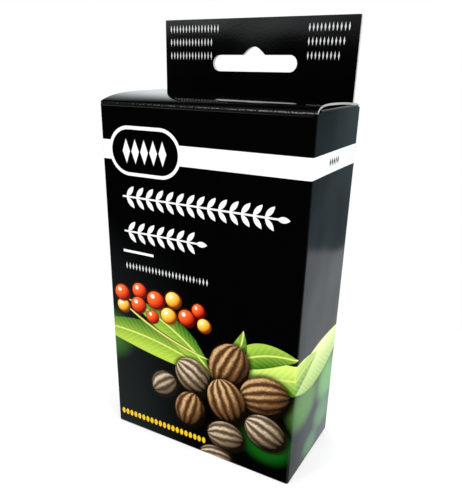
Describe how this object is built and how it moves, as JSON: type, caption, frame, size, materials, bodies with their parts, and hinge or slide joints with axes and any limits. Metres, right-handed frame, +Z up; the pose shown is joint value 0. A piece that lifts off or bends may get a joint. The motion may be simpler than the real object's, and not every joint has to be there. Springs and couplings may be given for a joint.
{
  "type": "hang-tab folding carton",
  "caption": "Glossy black folding carton with a hang tab and euro slot, a bowed tuck lid and folded dust flaps, holding a loose heap of small woody casuarina cones.",
  "frame": {"origin": "middle of the carton's footprint, on the surface that it stands on", "axes": "+Z up; the front panel faces -Y and the hang tab rises from the back, at +Y; +X is to the right as seen from the front"},
  "size_m": [0.075, 0.039, 0.1505],
  "materials": {
    "board_printed": "glossy varnish over black print, on white-cored board",
    "board_flap": "glossy varnish outside, bare off-white board inside",
    "cone_wood": "dry, rough, open valves"
  },
  "bodies": {
    "carton": {"front_panel": "board_printed", "left_panel": "board_printed", "right_panel": "board_printed", "back_inner_panel": "board_printed", "back_outer_panel": "board_printed", "bottom_outer_flap": "board_printed", "bottom_inner_flap": "board_flap", "bottom_dust_left": "board_flap", "bottom_dust_right": "board_flap", "cone_01": "cone_wood", "cone_02": "cone_wood", "cone_03": "cone_wood", "cone_04": "cone_wood", "cone_05": "cone_wood", "cone_06": "cone_wood", "cone_07": "cone_wood", "cone_08": "cone_wood", "cone_09": "cone_wood", "cone_10": "cone_wood", "cone_11": "cone_wood", "cone_12": "cone_wood", "cone_13": "cone_wood", "cone_14": "cone_wood", "cone_15": "cone_wood", "cone_16": "cone_wood", "cone_17": "cone_wood", "cone_18": "cone_wood", "cone_19": "cone_wood", "cone_20": "cone_wood"},
    "lid": {"lid_panel": "board_printed"},
    "tuck": {"tuck_flap": "board_flap"},
    "dust_left": {"top_dust_left": "board_flap"},
    "dust_right": {"top_dust_right": "board_flap"}
  },
  "joints": [
    {"name": "lid_hinge", "type": "hinge", "parent": "carton", "child": "lid", "pos_m": [0, -0.01912, 0.12412], "axis": [1, 0, 0], "range_deg": [0, 165]},
    {"name": "tuck_crease", "type": "hinge", "parent": "lid", "child": "tuck", "pos_m": [0, 0.0169, 0.12529], "axis": [-0.9997, 0, 0.0259], "range_deg": [0, 30]},
    {"name": "dust_left_crease", "type": "hinge", "parent": "carton", "child": "dust_left", "pos_m": [-0.0369, 0, 0.1239], "axis": [0, 1, 0], "range_deg": [0, 80]},
    {"name": "dust_right_crease", "type": "hinge", "parent": "carton", "child": "dust_right", "pos_m": [0.0369, 0, 0.1239], "axis": [0, -1, 0], "range_deg": [0, 80]}
  ]
}
